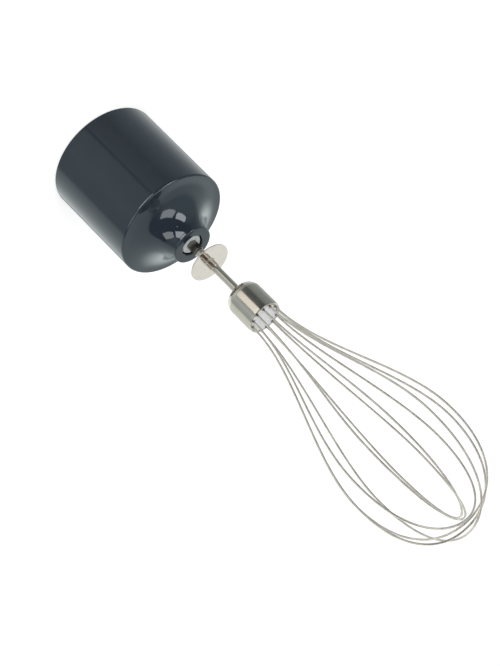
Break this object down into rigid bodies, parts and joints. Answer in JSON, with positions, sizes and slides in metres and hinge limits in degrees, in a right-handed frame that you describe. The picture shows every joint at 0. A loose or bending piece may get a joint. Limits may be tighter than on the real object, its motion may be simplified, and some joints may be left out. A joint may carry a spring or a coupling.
{
  "type": "whisk attachment for a hand blender",
  "caption": "Balloon whisk attachment for a hand blender: wire cage, ferrule and splash disc on a slim steel shaft that turns in a flared drive collar.",
  "frame": {"origin": "on the shaft axis, in the plane of the collar's open rim, on which the part stands", "axes": "+Z along the shaft from the open rim to the crown of the wire cage; -Y towards the viewer of the picture"},
  "size_m": [0.0602, 0.06, 0.2699],
  "materials": {
    "housing_plastic": "gloss",
    "cover_plastic": "satin",
    "gear_plastic": "satin",
    "coupling_plastic": "satin",
    "hub_plastic": "satin",
    "core_plastic": "satin",
    "seal_rubber": "matte",
    "bush_bronze": "sintered",
    "screw_steel": "zinc plated",
    "gear_steel": "ground",
    "carrier_steel": "stamped",
    "spring_steel": "drawn",
    "shaft_steel": "ground and polished",
    "polished_steel": "polished",
    "wire_steel": "drawn and polished"
  },
  "bodies": {
    "collar": {"collar_housing": "housing_plastic", "gearbox_cover": "cover_plastic", "cover_screws": "screw_steel", "ring_gear": "gear_plastic", "input_bush": "bush_bronze", "nose_bush": "bush_bronze", "nose_seal": "seal_rubber"},
    "carrier": {"carrier_ring": "carrier_steel", "carrier_plate": "carrier_steel", "planet_pin_1": "gear_steel", "planet_pin_2": "gear_steel", "planet_pin_3": "gear_steel", "thrust_washer": "carrier_steel", "output_hub": "hub_plastic", "hub_spring": "spring_steel"},
    "sun": {"drive_coupling": "coupling_plastic", "sun_pinion": "gear_steel", "sun_circlip": "spring_steel"},
    "planet_1": {"planet_gear_1": "gear_plastic"},
    "planet_2": {"planet_gear_2": "gear_plastic"},
    "planet_3": {"planet_gear_3": "gear_plastic"},
    "whisk": {"whisk_shaft": "shaft_steel", "disc_sleeve": "polished_steel", "splash_disc": "polished_steel", "ferrule": "polished_steel", "wire_core": "core_plastic", "whisk_wire_1": "wire_steel", "whisk_wire_2": "wire_steel", "whisk_wire_3": "wire_steel", "whisk_wire_4": "wire_steel", "whisk_wire_5": "wire_steel", "whisk_wire_6": "wire_steel"}
  },
  "joints": [
    {"name": "whisk_spin", "type": "hinge", "parent": "collar", "child": "carrier", "pos_m": [0, 0, 0.05], "axis": [0, 0, 1], "continuous": true},
    {"name": "sun_spin", "type": "hinge", "parent": "collar", "child": "sun", "pos_m": [0, 0, 0.03], "axis": [0, 0, 1], "continuous": true},
    {"name": "planet_1_spin", "type": "hinge", "parent": "carrier", "child": "planet_1", "pos_m": [0.012, 0, 0.04], "axis": [0, 0, 1], "continuous": true},
    {"name": "planet_2_spin", "type": "hinge", "parent": "carrier", "child": "planet_2", "pos_m": [-0.006, 0.01039, 0.04], "axis": [0, 0, 1], "continuous": true},
    {"name": "planet_3_spin", "type": "hinge", "parent": "carrier", "child": "planet_3", "pos_m": [-0.006, -0.01039, 0.04], "axis": [0, 0, 1], "continuous": true},
    {"name": "whisk_release", "type": "slide", "parent": "carrier", "child": "whisk", "axis": [0, 0, 1], "range_m": [0, 0.025]}
  ],
  "couplings": [
    {"joint": "sun_spin", "follows": "whisk_spin", "ratio": 5},
    {"joint": "planet_1_spin", "follows": "whisk_spin", "ratio": -2.6667},
    {"joint": "planet_2_spin", "follows": "whisk_spin", "ratio": -2.6667},
    {"joint": "planet_3_spin", "follows": "whisk_spin", "ratio": -2.6667}
  ]
}
